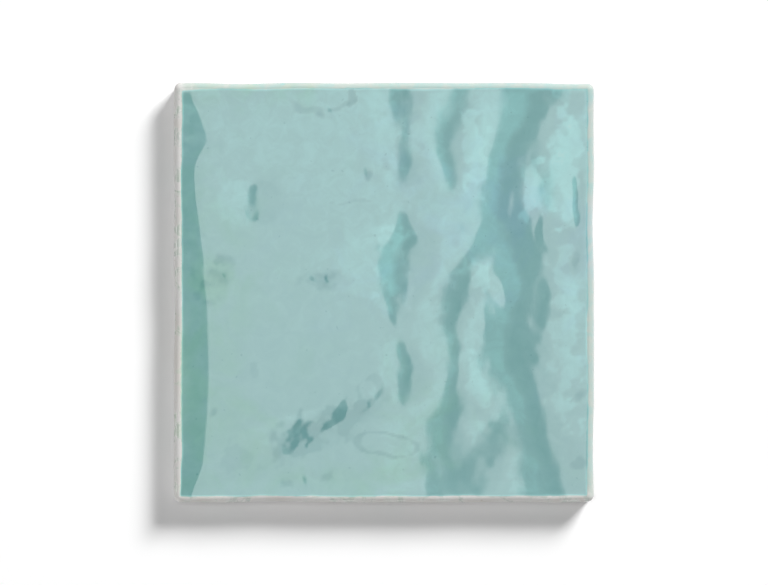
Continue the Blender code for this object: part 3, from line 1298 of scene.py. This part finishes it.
    def dress(self) -> None:
        """Gives the back, but for its pockets' floors, the bare finish, and the rest the glaze."""
        body = BiscuitFinish()
        mesh = self.piece.data
        mesh.materials.append(GlazeFinish(body).make())
        mesh.materials.append(body.make())
        top = self.biscuit_reach * self.pocket_depth
        for face in mesh.polygons:
            on_back = face.center.z < top and face.normal.z < self.facing_down
            face.material_index = (Slot.BISCUIT if on_back else Slot.GLAZE).value
        bpy.ops.object.shade_smooth_by_angle(angle=self.smooth_angle)

    def compare(self, solid: bpy.types.Object, stride: int = 23) -> None:
        """Logs how far the new surface lies from the frame's own solid.

        Args:
            solid: the frame's node.
            stride: one vertex in this many is tried.
        """
        tree = BVHTree.FromObject(solid, bpy.context.evaluated_depsgraph_get())
        found = [tree.find_nearest(Vector(place))[3] for place in places(self.piece)[::stride]]
        log.info("against the solid: mean %.3f mm, most %.3f mm", np.mean(found) / MM,
                 np.max(found) / MM)

    def build(self, solid: bpy.types.Object) -> bpy.types.Object:
        """Builds and dresses the tile.

        Args:
            solid: the frame's node that the tile stands for.

        Returns:
            The finished piece.
        """
        self.lay_face()
        self.turn_down_sides()
        self.shape()
        self.add_back()
        self.press_pockets()
        self.lay_coat()
        self.dress()
        self.compare(solid)
        triangles = sum(len(face.vertices) - 2 for face in self.piece.data.polygons)
        log.info("%s: %d triangles", self.piece.name, triangles)
        return self.piece


@dataclass(frozen=True)
class Lamp:
    """A plain rectangular lamp that lights the tile and, unless it is held back, its gloss."""

    name: str
    place: Place
    size: Pair
    radiance: float
    aim: Place = (0.0, 0.0, 0.0)
    in_gloss: bool = True

    def hang(self) -> None:
        """Puts the lamp in the scene, turned to what it aims at."""
        data = bpy.data.lights.new(self.name, "AREA")
        data.shape = "RECTANGLE"
        data.size, data.size_y = self.size
        data.energy = self.radiance * self.size[0] * self.size[1] * math.pi
        lamp = bpy.data.objects.new(self.name, data)
        lamp.location = self.place
        facing = (Vector(self.aim) - Vector(self.place)).to_track_quat("-Z", "Y")
        lamp.rotation_euler = facing.to_euler()
        lamp.visible_glossy = self.in_gloss
        bpy.context.scene.collection.objects.link(lamp)


@dataclass
class Studio:
    """The pale floor, the lamps, the even light of the room and the camera.

    The face mirrors the soft box overhead wherever its slope turns the view there. panels gives
    where each panel of the box starts and ends across, and its radiance: the box itself, four
    narrow ones that brighten it towards its right end, and a dimmer strip past that end. The
    other lamps are the key at the upper right, two low fills and two faint wall lights. The tile
    is tile_pixels wide in the picture.
    """

    camera_height: float = 1.5
    tile_width: float = 0.132
    tile_pixels: float = 418.0
    floor_half: float = 6.0
    floor_colour: Colour = (0.97, 0.97, 0.97)
    floor_bounce: Colour = (0.45, 0.45, 0.45)
    room: float = 0.05
    box_height: float = 2.0
    box_low: float = -0.60
    box_high: float = 0.52
    panels: Points = (
        (-0.95, 0.0677, 3.40), (0.010, 0.0650, 0.20), (0.022, 0.0670, 0.20),
        (0.034, 0.0685, 0.20), (0.046, 0.0700, 0.20), (0.0677, 0.098, 1.0))
    others: tuple[Lamp, ...] = (
        Lamp("key", (3.02, 3.66, 2.68), (1.75, 1.75), 42.5, in_gloss=False),
        Lamp("left_fill", (-2.2, -0.2, 0.18), (1.6, 0.35), 9.5),
        Lamp("front_fill", (-0.2, -2.2, 0.18), (1.6, 0.35), 9.5),
        Lamp("back_wall", (-0.2, 2.2, 0.85), (2.4, 1.3), 0.55, (-0.2, 0.0, 0.3)),
        Lamp("front_wall", (-0.2, -2.4, 1.0), (2.4, 1.3), 0.11, (-0.2, 0.0, 0.3)))

    def panel(self, left: float, right: float, radiance: float) -> Lamp:
        """One panel of the soft box overhead.

        Args:
            left: where it starts, across.
            right: where it ends.
            radiance: how bright it is.

        Returns:
            The lamp, not yet hung.
        """
        middle = ((left + right) / 2, (self.box_low + self.box_high) / 2)
        size = (right - left, self.box_high - self.box_low)
        return Lamp("soft_box", (*middle, self.box_height), size, radiance, (*middle, 0.0))

    def lamps(self) -> list[Lamp]:
        """All the lamps, not yet hung."""
        return [*(self.panel(*panel) for panel in self.panels), *self.others]

    def lay_floor(self) -> None:
        """Adds the floor: white where it is seen, and a grey that throws less light at the sides."""
        bpy.ops.object.select_all(action="DESELECT")
        bpy.ops.mesh.primitive_plane_add(size=2 * self.floor_half, location=(0, 0, 0))
        floor = bpy.context.object
        floor.name = "floor"
        shader = Shader("floor")
        path = shader.tree.nodes.new("ShaderNodeLightPath").outputs
        seen = shader.math("ADD", path["Is Camera Ray"], path["Is Glossy Ray"], clamp=True)
        seen = shader.math("ADD", seen, path["Is Transmission Ray"], clamp=True)
        colour = shader.mix(seen, self.floor_bounce, self.floor_colour)
        shader.join(colour, shader.surface.inputs["Base Color"])
        shader.surface.inputs["Roughness"].default_value = 1.0
        shader.surface.inputs["Specular IOR Level"].default_value = 0.0
        floor.data.materials.append(shader.material)

    def light_room(self) -> None:
        """Gives the world the even light of a pale room."""
        world = bpy.data.worlds.new("room")
        world.use_nodes = True
        background = world.node_tree.nodes["Background"]
        background.inputs["Color"].default_value = (1.0, 1.0, 1.0, 1.0)
        background.inputs["Strength"].default_value = self.room
        bpy.context.scene.world = world

    def set_camera(self) -> None:
        """Hangs the camera over the tile, so that the tile is as wide as it should be."""
        view_width = self.tile_width * IMAGE[0] / self.tile_pixels
        data = bpy.data.cameras.new("camera")
        data.lens = data.sensor_width * self.camera_height / view_width
        camera = bpy.data.objects.new("camera", data)
        camera.location = (0.0, 0.0, self.camera_height)
        bpy.context.scene.collection.objects.link(camera)
        bpy.context.scene.camera = camera
        bpy.context.scene.view_settings.view_transform = "Standard"

    def build(self) -> None:
        """Builds the whole studio."""
        self.set_camera()
        self.lay_floor()
        self.light_room()
        for lamp in self.lamps():
            lamp.hang()
            log.info("lamp %s", lamp.name)


def main() -> None:
    """Loads the frame, dresses the tile and sets up its studio."""
    logging.basicConfig(level=logging.INFO, format="%(message)s")
    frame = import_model()
    _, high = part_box("tile")
    tile = WallTile(high).build(frame["nodes"]["tile"])
    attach(tile, "root")
    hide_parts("tile")
    Studio().build()


if __name__ == "__main__":
    main()
